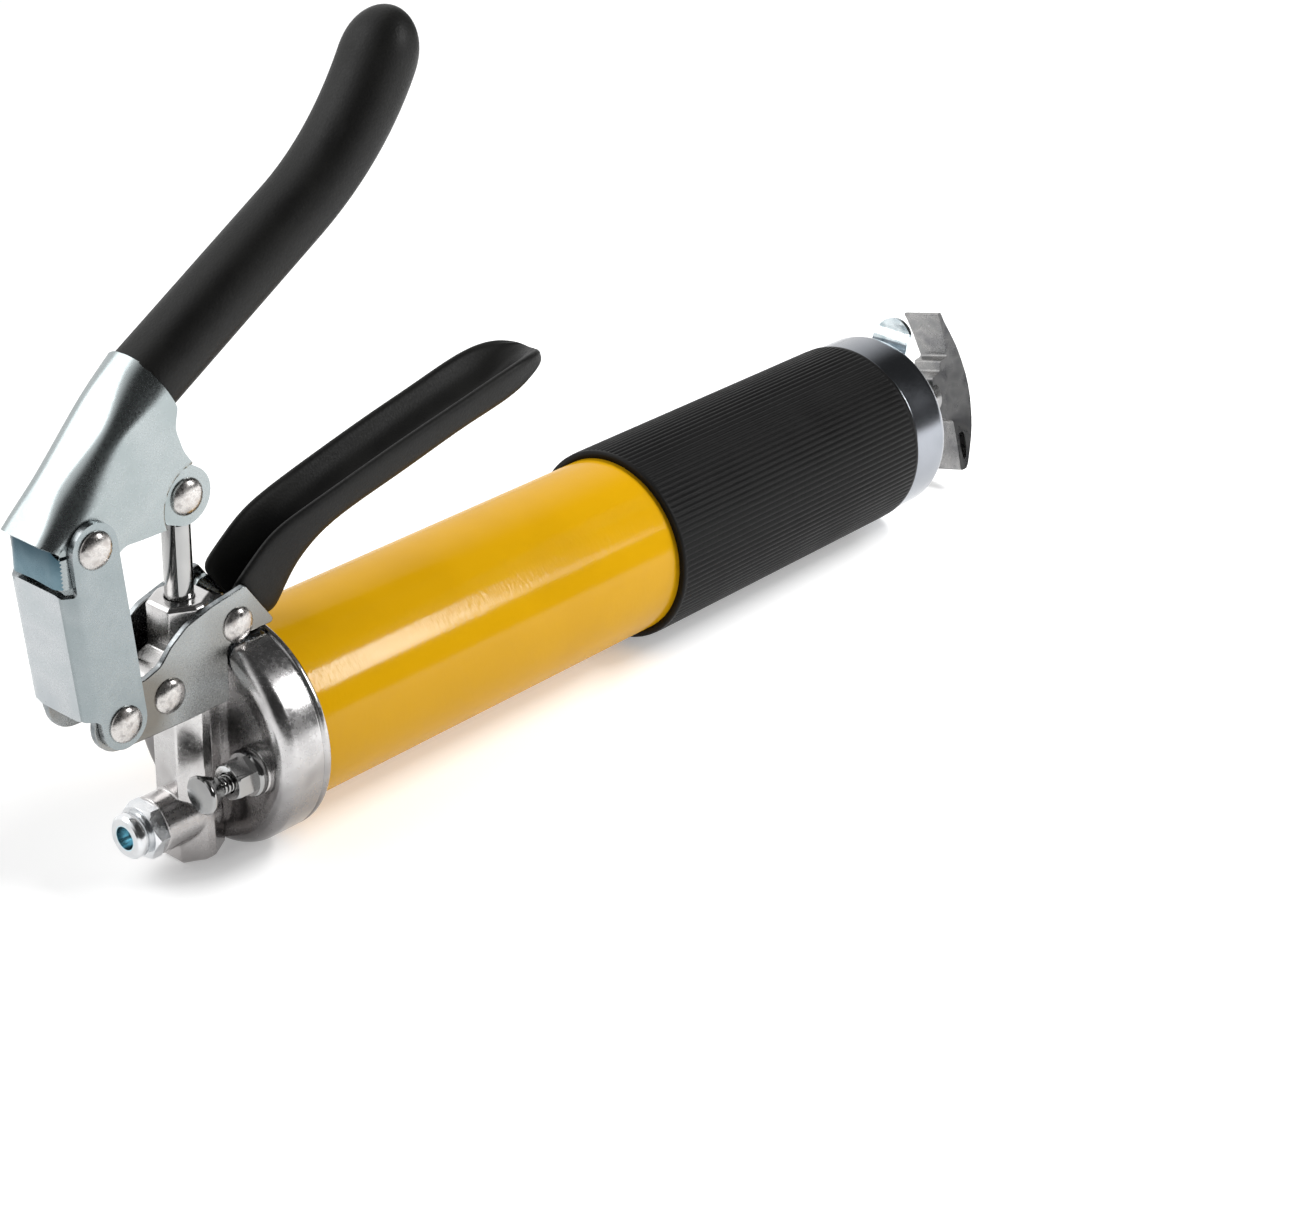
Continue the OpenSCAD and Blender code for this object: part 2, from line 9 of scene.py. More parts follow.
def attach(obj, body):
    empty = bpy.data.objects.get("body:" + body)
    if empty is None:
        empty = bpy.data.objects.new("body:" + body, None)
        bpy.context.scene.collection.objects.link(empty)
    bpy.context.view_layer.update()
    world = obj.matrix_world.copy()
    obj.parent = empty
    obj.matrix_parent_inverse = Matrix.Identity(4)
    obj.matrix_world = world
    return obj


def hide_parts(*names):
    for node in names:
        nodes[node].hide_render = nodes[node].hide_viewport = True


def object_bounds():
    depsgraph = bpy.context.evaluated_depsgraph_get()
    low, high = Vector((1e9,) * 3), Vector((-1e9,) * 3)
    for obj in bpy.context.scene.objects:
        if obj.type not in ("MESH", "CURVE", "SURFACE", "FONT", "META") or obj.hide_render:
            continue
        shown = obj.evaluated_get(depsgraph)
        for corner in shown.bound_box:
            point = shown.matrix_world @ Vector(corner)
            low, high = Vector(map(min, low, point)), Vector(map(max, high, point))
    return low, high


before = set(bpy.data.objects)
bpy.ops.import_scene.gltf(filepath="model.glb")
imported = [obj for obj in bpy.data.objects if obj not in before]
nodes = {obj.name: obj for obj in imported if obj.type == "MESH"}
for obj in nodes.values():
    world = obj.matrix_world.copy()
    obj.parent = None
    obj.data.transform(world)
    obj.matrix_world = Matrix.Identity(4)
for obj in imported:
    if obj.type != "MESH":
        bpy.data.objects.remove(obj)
cad_box = [list(corner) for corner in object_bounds()]
scene = bpy.context.scene

# The gun's sizes below are millimetres in the barrel's own axes: x along it towards the T-handle,
# y to the far side and z up. The row frame's origin, the outlet's mouth, is this far ahead and below.
AHEAD, BELOW = 48, 19.4

# ---- camera, light and floor ------------------------------------------------

TURN, DIP, ROLL = math.radians(40.43), math.radians(27.34), math.radians(1.59)
CAMERA_AT = Vector((-0.4377, -0.5604, 0.4342))
LENS, SENSOR = 82.5, 36

ahead = Vector((math.cos(TURN) * math.cos(DIP), math.sin(TURN) * math.cos(DIP), -math.sin(DIP)))
side = Vector((math.sin(TURN), -math.cos(TURN), 0))
up = side.cross(ahead)
right = math.cos(ROLL) * side + math.sin(ROLL) * up
top = -math.sin(ROLL) * side + math.cos(ROLL) * up
camera = bpy.data.objects.new("camera", bpy.data.cameras.new("camera"))
scene.collection.objects.link(camera)
camera.data.lens = LENS
camera.data.sensor_width = SENSOR
camera.matrix_world = Matrix.Translation(CAMERA_AT) @ Matrix((right, top, -ahead)).transposed().to_4x4()
scene.camera = camera
scene.view_settings.view_transform = "Standard"


def node(tree, kind, values=None, links=None, **settings):
    """Adds a shader node; values and links are given by input name or number."""
    made = tree.nodes.new("ShaderNode" + kind)
    for key, value in settings.items():
        setattr(made, key, value)
    for key, value in (values or {}).items():
        made.inputs[key].default_value = value
    for key, socket in (links or {}).items():
        tree.links.new(socket, made.inputs[key])
    return made


def area(name, place, target, size, power):
    """Rectangular soft light at place, turned towards target."""
    lamp = bpy.data.objects.new(name, bpy.data.lights.new(name, "AREA"))
    scene.collection.objects.link(lamp)
    lamp.data.energy = power
    lamp.data.shape = "RECTANGLE"
    lamp.data.size, lamp.data.size_y = size
    lamp.location = place
    lamp.rotation_mode = "QUATERNION"
    lamp.rotation_quaternion = (Vector(target) - Vector(place)).to_track_quat("-Z", "Y")
    return lamp


def softbox(name, centre, target, along, size, power):
    """Soft box whose long side lies along a given direction."""
    lamp = area(name, (0, 0, 0), (1, 0, 0), size, power)
    back = (Vector(centre) - Vector(target)).normalized()
    x = (Vector(along) - back * back.dot(Vector(along))).normalized()
    y = back.cross(x)
    lamp.matrix_world = Matrix.Translation(centre) @ Matrix((x, y, back)).transposed().to_4x4()


# pale backdrop behind the object, darker room on the camera's side
BACKDROP_TILT = -0.35
ROOM_FROM, BACKDROP_FROM = -0.14, 0.42
ROOM_STRENGTH, BACKDROP_STRENGTH = 0.05, 1.15

world = bpy.data.worlds.new("world")
scene.world = world
world.use_nodes = True
sky = world.node_tree
facing = node(sky, "SeparateXYZ", links={0: node(sky, "TexCoord").outputs["Generated"]})
tilt = node(sky, "Math", {1: BACKDROP_TILT}, {0: facing.outputs["X"], 2: facing.outputs["Y"]},
            operation="MULTIPLY_ADD")
fade = node(sky, "MapRange", {"From Min": ROOM_FROM, "From Max": BACKDROP_FROM,
                              "To Min": ROOM_STRENGTH, "To Max": BACKDROP_STRENGTH},
            {"Value": tilt.outputs[0]}, interpolation_type="SMOOTHSTEP")
sky.links.new(fade.outputs[0], sky.nodes["Background"].inputs["Strength"])
sky.nodes["Background"].inputs["Color"].default_value = (1, 1, 1, 1)

# the key lights the right side; the two soft boxes are the streak that the barrel mirrors
area("key", (0.76, -0.39, 0.71), (0.12, 0, 0.02), (0.5, 0.17), 9.0).visible_glossy = False
softbox("right_wide", (0.675, -0.625, 0.545), (0.06, -0.01, 0.03), (0, -0.64, -0.77), (0.34, 0.12), 3.1)
softbox("right_long", (0.77, -0.65, 0.455), (0.1, -0.01, 0.03), (0.195, -0.05, -0.18), (0.22, 0.07), 0.3)
area("back_left", (-0.42, 0.55, 0.72), (-0.01, 0, 0.12), (0.55, 0.55), 2.6)


# ---- materials --------------------------------------------------------------

def surface(name, tones, metal, rough, grain, bump, patch=60, stretch=(1, 1, 1), coat=None, shine=0.5,
            patch_bump=0.0, detail=3.0):
    """tones: colours of the patches; rough: lowest and highest roughness; grain: scale of the fine
    texture per metre; bump and patch_bump: heights in metres; coat: weight and roughness."""
    made = bpy.data.materials.new(name)
    made.use_nodes = True
    tree = made.node_tree
    shader = tree.nodes["Principled BSDF"]
    place = node(tree, "TexCoord").outputs["Object"]
    cloud = node(tree, "TexNoise", {"Scale": patch, "Detail": detail, "Roughness": 0.5}, {"Vector": place})
    ramp = node(tree, "ValToRGB", links={0: cloud.outputs["Fac"]})
    ramp.color_ramp.elements[0].position = 0.32
    ramp.color_ramp.elements[1].position = 0.68
    for _ in tones[2:]:
        ramp.color_ramp.elements.new(0.5)
    for element, tone in zip(ramp.color_ramp.elements, tones):
        element.color = (*tone, 1)
    tree.links.new(ramp.outputs[0], shader.inputs["Base Color"])
    shader.inputs["Metallic"].default_value = metal
    shader.inputs["Specular IOR Level"].default_value = shine
    fine_place = node(tree, "Mapping", {"Scale": stretch}, {"Vector": place}).outputs[0]
    fine = node(tree, "TexNoise", {"Scale": grain, "Detail": 3.0, "Roughness": 0.55}, {"Vector": fine_place})
    half_fine = node(tree, "Math", {1: 0.5}, {0: fine.outputs["Fac"]}, operation="MULTIPLY")
    both = node(tree, "Math", {1: 0.5}, {0: cloud.outputs["Fac"], 2: half_fine.outputs[0]},
                operation="MULTIPLY_ADD")
    spread = node(tree, "MapRange", {"From Min": 0.35, "From Max": 0.65,
                                     "To Min": rough[0], "To Max": rough[1]},
                  {"Value": both.outputs[0]})
    tree.links.new(spread.outputs[0], shader.inputs["Roughness"])
    relief = node(tree, "Bump", {"Strength": 1.0, "Distance": bump}, {"Height": fine.outputs["Fac"]})
    if patch_bump:
        relief = node(tree, "Bump", {"Strength": 1.0, "Distance": patch_bump},
                      {"Height": cloud.outputs["Fac"], "Normal": relief.outputs[0]})
    tree.links.new(relief.outputs[0], shader.inputs["Normal"])
    if coat:
        shader.inputs["Coat Weight"].default_value = coat[0]
        shader.inputs["Coat Roughness"].default_value = coat[1]
        tree.links.new(relief.outputs[0], shader.inputs["Coat Normal"])
    return made


def tinted(material, part, colour):
    """Mixes colour over a material's own, where part, a socket, is above 0."""
    tree = material.node_tree
    base = tree.nodes["Principled BSDF"].inputs["Base Color"]
    mixed = node(tree, "Mix", data_type="RGBA")
    tree.links.new(part, mixed.inputs[0])
    tree.links.new(base.links[0].from_socket, mixed.inputs[6])
    mixed.inputs[7].default_value = (*colour, 1)
    tree.links.new(mixed.outputs[2], base)


def shade_along(material, way, start, end, colour, share):
    """Paints shade into a material: mixes a darker colour along way, from none at start to share at end, in
    metres.
    """
    tree = material.node_tree
    place = node(tree, "TexCoord").outputs["Object"]
    along = node(tree, "VectorMath", {1: way}, {0: place}, operation="DOT_PRODUCT")
    part = node(tree, "MapRange", {"From Min": start, "From Max": end, "To Max": share},
                {"Value": along.outputs["Value"]}, interpolation_type="SMOOTHSTEP")
    tinted(material, part.outputs[0], colour)


def bored(material, inner, outer, colour):
    """Colours what lies within a radius of the outlet's axis, fading from inner to outer, in metres."""
    tree = material.node_tree
    place = node(tree, "TexCoord").outputs["Object"]
    from_axis = node(tree, "VectorMath", {1: (0, 1, 1)}, {0: place}, operation="MULTIPLY")
    radius = node(tree, "VectorMath", links={0: from_axis.outputs[0]}, operation="LENGTH")
    part = node(tree, "MapRange", {"From Min": inner, "From Max": outer, "To Min": 1.0, "To Max": 0.0},
                {"Value": radius.outputs["Value"]})
    tinted(material, part.outputs[0], colour)


UPWARD = (0, 0, 1)

cast = surface("cast_aluminium", [(0.55, 0.535, 0.53), (0.66, 0.65, 0.645), (0.6, 0.59, 0.585)], 1,
               (0.18, 0.32), 900, 0.00001, patch=110, patch_bump=0.000035, detail=1.5)
# painted shade: the head body's cast colour darkens towards its bottom
shade_along(cast, UPWARD, 0.03, -0.012, (0.36, 0.34, 0.335), 0.75)
flange_cast = surface("cast_flange", [(0.42, 0.41, 0.41), (0.62, 0.61, 0.61), (0.52, 0.51, 0.51)], 1,
                      (0.16, 0.32), 900, 0.00001, patch=95, patch_bump=0.00004, detail=1.5)
# painted shade: the flange's cast colour darkens towards its bottom
shade_along(flange_cast, UPWARD, 0.03, 0.0, (0.16, 0.152, 0.15), 0.9)
# painted shade: a much darker copy of the die-cast colour, which the T-handle's flat sides take for the shade
# they show
die_side_shade = surface("die_cast_side_painted_shade", [(0.06, 0.06, 0.063), (0.105, 0.105, 0.105), (0.08, 0.08, 0.083)], 1,
                   (0.24, 0.38), 900, 0.000008, patch=150, patch_bump=0.00002, detail=1.5)
die_cast = surface("die_cast_handle", [(0.22, 0.22, 0.225), (0.34, 0.335, 0.33), (0.28, 0.28, 0.28)], 1,
                   (0.2, 0.34), 900, 0.000008, patch=150, patch_bump=0.00002, detail=1.5)
zinc = surface("zinc_plate", [(0.29, 0.33, 0.335), (0.355, 0.39, 0.395), (0.32, 0.36, 0.365)], 1,
               (0.2, 0.34), 1500, 0.000005, patch=45)
# painted light and shade: a lighter copy of the zinc for the link's web and a darker one for its strips
lit_web_zinc = surface("zinc_plate_web_painted_light", [(0.42, 0.45, 0.47), (0.49, 0.515, 0.53), (0.45, 0.485, 0.5)], 1,
                   (0.2, 0.34), 1500, 0.000005, patch=55)
shaded_link_zinc = surface("zinc_plate_link_painted_shade", [(0.25, 0.285, 0.295), (0.31, 0.345, 0.355), (0.275, 0.315, 0.325)], 1,
                    (0.2, 0.34), 1500, 0.000005, patch=55)
bracket_zinc = surface("zinc_plate_bracket", [(0.19, 0.18, 0.16), (0.33, 0.345, 0.345), (0.24, 0.24, 0.23)],
                       1, (0.2, 0.34), 1500, 0.000005, patch=30, detail=1.0)
# painted shade: a darker zinc for the sheets' cut edges, standing for the shade along them
rim_zinc_shade = surface("zinc_rim_painted_shade", [(0.12, 0.14, 0.15), (0.34, 0.36, 0.37), (0.2, 0.22, 0.23)], 1,
                   (0.2, 0.34), 1500, 0.000005, patch=160)
# blue zinc for the lever's chin: the blue tint is the plating's own, its darker tone is painted shade, and
# the grade darker towards its top is painted shade under the web's front edge
blue_zinc_and_shade = surface("blue_zinc_and_shade", [(0.1, 0.17, 0.205), (0.15, 0.23, 0.27), (0.12, 0.195, 0.235)], 1,
                    (0.16, 0.3), 1500, 0.000005, patch=120)
shade_along(blue_zinc_and_shade, UPWARD, 0.089, 0.0985, (0.02, 0.05, 0.07), 0.9)
adaptor_zinc = surface("adaptor_zinc", [(0.66, 0.68, 0.7), (0.76, 0.77, 0.78), (0.7, 0.72, 0.74)], 1,
                       (0.14, 0.26), 1500, 0.000005, patch=150)
bored(adaptor_zinc, 0.0036, 0.0039, (0.58, 0.78, 0.84))
latch_zinc = surface("latch_zinc", [(0.34, 0.42, 0.45), (0.66, 0.72, 0.74), (0.5, 0.57, 0.6)], 1,
                     (0.1, 0.2), 1500, 0.000005, patch=150)
steel = surface("bright_steel", [(0.33, 0.33, 0.33), (0.43, 0.43, 0.425)], 1, (0.07, 0.16), 900, 0.000004,
                patch=80, stretch=(1, 1, 0.05))
nickel = surface("rivet_steel", [(0.36, 0.34, 0.33), (0.6, 0.58, 0.56), (0.48, 0.45, 0.43)], 1,
                 (0.16, 0.38), 1400, 0.00002, patch=420, patch_bump=0.00003)
chrome = surface("dark_chrome", [(0.25, 0.265, 0.29), (0.3, 0.315, 0.345)], 1, (0.16, 0.24), 1200, 0.000002)
yellow = surface("yellow_enamel", [(0.545, 0.286, 0.0025), (0.585, 0.31, 0.003), (0.565, 0.298, 0.0025)], 0,
                 (0.4, 0.5), 900, 0.000045, patch=25, stretch=(1, 0.35, 0.35), coat=(0.42, 0.12), shine=0.0)
rubber = surface("black_rubber", [(0.0045, 0.0045, 0.0045), (0.0075, 0.0075, 0.0075)], 0, (0.42, 0.58),
                 1800, 0.00003, patch=70, shine=0.16)
vinyl = surface("black_vinyl", [(0.005, 0.005, 0.0048), (0.0095, 0.0095, 0.0088)], 0, (0.42, 0.56),
                1500, 0.00008, shine=0.22)
gasket = surface("gasket_rubber", [(0.012, 0.012, 0.012), (0.02, 0.02, 0.02)], 0, (0.5, 0.66), 1800, 0.00002)
pale = surface("pale_floor", [(0.84, 0.84, 0.84), (0.86, 0.86, 0.86)], 0, (0.75, 0.85), 40, 0.00001, patch=3)
pale.node_tree.nodes["Principled BSDF"].inputs["Emission Color"].default_value = (1, 1, 1, 1)
pale.node_tree.nodes["Principled BSDF"].inputs["Emission Strength"].default_value = 0.3

FLOOR_HALF, FLOOR_GAP = 6, 0.0003
floor_mesh = bpy.data.meshes.new("floor")
floor_mesh.from_pydata([(a * FLOOR_HALF, b * FLOOR_HALF, 0) for a, b in ((-1, -1), (1, -1), (1, 1), (-1, 1))],
                       [], [(0, 1, 2, 3)])
floor = bpy.data.objects.new("floor", floor_mesh)
floor.location = (0, 0, cad_box[0][2] - FLOOR_GAP)
scene.collection.objects.link(floor)
floor_mesh.materials.append(pale)


# ---- building helpers -------------------------------------------------------

def put(x, y, z):
    """Row frame in metres, from millimetres measured along and above the barrel's axis."""
    return Vector(((x + AHEAD) / 1000, y / 1000, (z + BELOW) / 1000))


def sideways(x, z, y):
    """put for shapes that are drawn from the side, with y as their level."""
    return put(x, y, z)


def degrees_range(start, stop, step):
    return [math.radians(a) for a in range(start, stop, step)]


def piece(name, bm, body, material, stands_for, bevel=None, solid=None, subdivide=0):
    """Makes the mesh an object of a body; bevel and solid are in millimetres."""
    bmesh.ops.remove_doubles(bm, verts=bm.verts, dist=2e-6)
    mesh = bpy.data.meshes.new(name)
    bm.to_mesh(mesh)
    bm.free()
    mesh.shade_smooth()
    mesh.materials.append(material)
    o = bpy.data.objects.new(name, mesh)
    scene.collection.objects.link(o)
    if solid:
        thickness = o.modifiers.new("thickness", "SOLIDIFY")
        thickness.thickness = solid / 1000
        thickness.offset = -1
        thickness.use_even_offset = True
    if bevel:
        edges = o.modifiers.new("edges", "BEVEL")
        edges.width = bevel / 1000
        edges.segments = 2
        edges.limit_method = "ANGLE"
        edges.angle_limit = math.radians(40)
        edges.harden_normals = True
    if subdivide:
        smooth = o.modifiers.new("smooth", "SUBSURF")
        smooth.levels = smooth.render_levels = subdivide
    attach(o, body)
    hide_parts(*stands_for)
    return o


def rings(bm, loops, ends=True):
    """Skin between closed loops of points; every loop has the same number of points."""
    rows = [[bm.verts.new(p) for p in loop] for loop in loops]
    n = len(rows[0])
    for a, b in zip(rows, rows[1:]):
        for k in range(n):
            j = (k + 1) % n
            bm.faces.new((a[k], a[j], b[j], b[k]))
    if ends:
        bm.faces.new(rows[0][::-1])
        bm.faces.new(rows[-1])


def prism(bm, outline, low, high, place=sideways):
    """Straight block with the outline at both ends; place turns (a, b, level) into a point."""
    rings(bm, [[place(a, b, low) for a, b in outline], [place(a, b, high) for a, b in outline]])


def lathe(bm, profile, turns=96, place=put):
    """Surface of revolution from (x, radius) pairs; place turns x, y, z into a row frame point."""
    loops = []
    for x, r in profile:
        if r < 1e-6:
            loops.append([bm.verts.new(place(x, 0, 0))])
        else:
            loops.append([bm.verts.new(place(x, r * math.cos(a), r * math.sin(a)))
                          for a in (2 * math.pi * k / turns for k in range(turns))])
    for a, b in zip(loops, loops[1:]):
        for k in range(turns):
            j = (k + 1) % turns
            quad = [a[k % len(a)], a[j % len(a)], b[j % len(b)], b[k % len(b)]]
            quad = list(dict.fromkeys(quad))
            if len(quad) > 2:
                bm.faces.new(quad)
    bmesh.ops.recalc_face_normals(bm, faces=bm.faces)


def fillet(points, step=12.0):
    """Closed outline from (a, b, radius) corners, each corner rounded to its radius."""
    out = []
    n = len(points)
    for i, (a, b, r) in enumerate(points):
        p = Vector((a, b))
        before = Vector(points[i - 1][:2]) - p
        after = Vector(points[(i + 1) % n][:2]) - p
        if r <= 0:
            out.append((a, b))
            continue
        d1, d2 = before.normalized(), after.normalized()
        half = d1.angle(d2) / 2
        if half > math.radians(89):
            out.append((a, b))
            continue
        cut = min(r / math.tan(half), before.length * 0.49, after.length * 0.49)
        r = cut * math.tan(half)
        centre = p + (d1 + d2).normalized() * (r / math.sin(half))
        v1, v2 = p + d1 * cut - centre, p + d2 * cut - centre
        count = max(1, round(abs(math.degrees(v1.angle_signed(v2))) / step))
        first = math.atan2(v1.y, v1.x)
        sweep = math.atan2(v1.x * v2.y - v1.y * v2.x, v1.dot(v2))
        for k in range(count + 1):
            w = first + sweep * k / count
            out.append((centre.x + r * math.cos(w), centre.y + r * math.sin(w)))
    return out


def cells(outline, cell):
    """Flat pattern cut into small cells."""
    bm = bmesh.new()
    bm.faces.new([bm.verts.new((a, b, 0)) for a, b in outline])
    for axis in (0, 1):
        low = min(p[axis] for p in outline)
        high = max(p[axis] for p in outline)
        k = math.floor(low / cell) + 1
        while k * cell < high - 1e-4:
            at = Vector((0, 0, 0))
            at[axis] = k * cell
            way = Vector((0, 0, 0))
            way[axis] = 1
            bmesh.ops.bisect_plane(bm, geom=bm.verts[:] + bm.edges[:] + bm.faces[:],
                                   plane_co=at, plane_no=way, dist=1e-5)
            k += 1
    return bm


def outward(bm, probe, way):
    """Turns the faces of an open sheet so that the one nearest to probe looks along way."""
    bm.normal_update()
    bmesh.ops.recalc_face_normals(bm, faces=bm.faces)
    bm.normal_update()
    near = min(bm.faces, key=lambda f: (f.calc_center_median() - probe).length)
    if near.normal.dot(way) < 0:
        bmesh.ops.reverse_faces(bm, faces=bm.faces)


def smoothstep(x):
    x = min(1.0, max(0.0, x))
    return x * x * (3 - 2 * x)


def blend_table(table, x):
    """Value at x from (x, value) pairs, easing between them."""
    if x <= table[0][0]:
        return table[0][1]
    for (a, va), (b, vb) in zip(table, table[1:]):
        if x <= b:
            return va + (vb - va) * smoothstep((x - a) / (b - a))
    return table[-1][1]


# ---- lever: pressed from sheet ----------------------------------------------

# pins: link top, link bottom, plunger; then the bracket's rivets
LINK_TOP, LINK_BOTTOM, PLUNGER_PIN = (-61.2, 77.2), (-55.1, 24.3), (-24.4, 77.3)
RIVET_FRONT, RIVET_REAR = (-38.1, 25.1), (-13.4, 37.3)
SHEET = 2                 # thickness of the lever and the link
SHEET_CELL = 0.8          # size of the cells that their patterns are bent in
PLATE = 10.5              # outer face of the lever's cheeks and the brackets, from the middle
NOSE = Vector((-75, 81))  # front end of the lever's web, which climbs along WEB
WEB = Vector((34, 36)).normalized()
DOWN = Vector((WEB.y, -WEB.x))
NEAR_BEND = [(0, 5.0), (15, 8.8), (33, 5.3), (52, 10.4)]  # bend radius along the web's near edge
FAR_BEND = [(0, 5.0), (18, 6.6), (36, 6.4), (52, 7.6)]
ARC = 2 - math.pi / 2     # what a right-angled bend saves of its two legs, per radius
FRONT = -67.9             # where the cheeks turn in to the chin, with this radius
TURN_IN = 3.5
DROOP_FROM, DROOP = 42, 0.005
EYE_R, EYE_REACH, EYE_RAMP, EYE_IN = 8.3, 12.3, 3.4, 5.4  # round the plunger pin, pressed inwards


def flat(x, z, bend):
    """Place in the flat pattern of a point of a cheek, as distances along and across the web."""
    q = Vector((x, z)) - NOSE
    s, d = q.dot(WEB), q.dot(DOWN)
    return s, PLATE + d - ARC * blend_table(bend, s)


def lever_point(s, t):
    """Bends the flat pattern: s along the web, t across it with the far side positive."""
    r = blend_table(FAR_BEND if t > 0 else NEAR_BEND, s)
    at = abs(t)
    level = PLATE - r
    d = at - PLATE + ARC * r
    y = PLATE
    if s >= 0 and at <= level:
        y, d = at, 0
    elif s >= 0 and d < r:
        w = (at - level) / r
        y, d = level + r * math.sin(w), r * (1 - math.cos(w))
    d += max(0, s - DROOP_FROM) ** 2 * DROOP
    x, z = NOSE + WEB * s + DOWN * d
    if (s < 0 or d > r) and x < FRONT:
        over = FRONT - x
        w = over / TURN_IN
        if w < math.pi / 2:
            x, y = FRONT - TURN_IN * math.sin(w), PLATE - TURN_IN * (1 - math.cos(w))
        else:
            x, y = FRONT - TURN_IN, PLATE - TURN_IN - (over - TURN_IN * math.pi / 2)
    if at > level:
        away = math.hypot(x - PLUNGER_PIN[0], z - PLUNGER_PIN[1])
        y -= EYE_IN * smoothstep((EYE_REACH - away) / EYE_RAMP)
    return put(x, math.copysign(max(y, 0), t) if t else 0, z)


CENTRE = FRONT - (PLATE - TURN_IN + TURN_IN * math.pi / 2)  # the chin's middle, unrolled
CHIN_TOP, CHIN_LOW = 79.8, 68.4
ear = [(PLUNGER_PIN[0] + EYE_R * math.cos(w), PLUNGER_PIN[1] + EYE_R * math.sin(w), 0)
       for w in degrees_range(-100, 63, 9)]
cheek = fillet([(-69.6, 77.3, 0), (-67.2, 77.6, 0.3), (-67.2, 76.8, 0.3), (-69.8, 76.2, 0.5),
                (-70.8, 76.4, 0.5), (-74.5, CHIN_TOP, 0.5), (CENTRE, CHIN_TOP, 0), (CENTRE, CHIN_LOW, 0),
                (-70, 67.9, 1), (-62, 67.9, 8), (-55.5, 68.6, 5), (-50.5, 73.6, 5), (-36, 73.3, 3)]
               + ear
               + [(-25.3, 88.0, 1.2), (-29.0, 93.5, 6), (-31.4, 100.5, 6), (-30.4, 106.2, 2),
                  (-31.4, 108.4, 0)])
nose_r = NEAR_BEND[0][1]
reach = PLATE - nose_r + nose_r * math.pi / 2
sides = []
for bend in (FAR_BEND, NEAR_BEND):
    front_edge = [(0.0, 0.0), (0.0, PLATE - nose_r), (0.15, reach * 0.6), (0.6, reach * 0.85)]
    rear_edge = [(53.8, PLATE - 6), (54.0, 0.0)]
    sides.append(front_edge + [flat(*q, bend) for q in cheek] + rear_edge)
bm = cells(sides[0] + [(s, -t) for s, t in sides[1][-2:0:-1]], SHEET_CELL)
for v in bm.verts:
    v.co = lever_point(v.co.x, v.co.y)
bmesh.ops.remove_doubles(bm, verts=bm.verts, dist=5e-6)
outward(bm, put(-57, 0, 100), Vector((-1, 0, 1)))
chin_x = put(FRONT - 1.6, 0, 0).x
# the chin's faces take the blue zinc, whose darker tone is partly painted shade
for f in bm.faces:
    if f.calc_center_median().x < chin_x and f.normal.x < -0.6 and f.normal.z < 0.3:
        f.material_index = 1
lever = piece("lever_sheet", bm, "lever", zinc, ["lever"], bevel=0.3, solid=SHEET)
lever.data.materials.append(blue_zinc_and_shade)
lever.data.materials.append(rim_zinc_shade)
lever.modifiers["thickness"].material_offset_rim = 2

# ---- link: pressed from sheet -----------------------------------------------

ALONG = (Vector(LINK_BOTTOM) - Vector(LINK_TOP)).normalized()
OUTER = Vector((ALONG.y, -ALONG.x))
LENGTH = (Vector(LINK_BOTTOM) - Vector(LINK_TOP)).length
LINK_R = 7.3              # round the pins, and from their line to the strips' rear edge
LINK_SIDE = 12.7          # outer face of the strips, from the middle
LINK_WEB = 10.9           # outer face of the web, from the pins' line


def bent(corners):
    """Open profile through (n, y, radius) corners as points with their distance along it."""
    points = fillet(corners + [(corners[-1][0], 99, 0), (corners[0][0], 99, 0)], 8)
    points = points[:points.index((corners[-1][0], corners[-1][1])) + 1]
    out, run = [], 0.0
    for i, p in enumerate(points):
        if i:
            run += math.dist(p, points[i - 1])
        out.append((run, p))
    return out


SECTION = bent([(LINK_WEB, 0, 0), (LINK_WEB, 10.0, 2.0), (8.0, LINK_SIDE, 2.2), (-LINK_R, LINK_SIDE, 0)])


def across(k):
    """Place (n, y) on the section, k millimetres along it from the middle of the web."""
    for (a, p), (b, q) in zip(SECTION, SECTION[1:]):
        if k <= b:
            f = (k - a) / (b - a)
            return p[0] + (q[0] - p[0]) * f, p[1] + (q[1] - p[1]) * f
    return SECTION[-1][1]


def strip_k(n):
    """Distance along the section of a point of a strip, n from the pins' line."""
    return SECTION[-1][0] - (n + LINK_R)


WEB_FROM, WEB_TO, WEB_HALF = 9.9, LENGTH - 4.4, 9.2
half = [(WEB_FROM, 0.0), (WEB_FROM, 7.5), (WEB_FROM + 0.5, 9.6), (WEB_FROM + 0.4, strip_k(8.6)),
        (WEB_FROM - 0.4, strip_k(7.7))]
half += [(-LINK_R * math.sin(a), strip_k(LINK_R * math.cos(a))) for a in degrees_range(0, 181, 9)]
half += [(LENGTH + LINK_R * math.sin(a), strip_k(-LINK_R * math.cos(a))) for a in degrees_range(0, 181, 9)]
half += [(WEB_TO + 0.5, strip_k(7.6)), (WEB_TO - 0.4, strip_k(8.6)), (WEB_TO - 0.8, 9.0), (WEB_TO - 0.1, 7.5),
         (WEB_TO, 0.0)]
bm = cells(half + [(t, -k) for t, k in half[-2:0:-1]], SHEET_CELL)
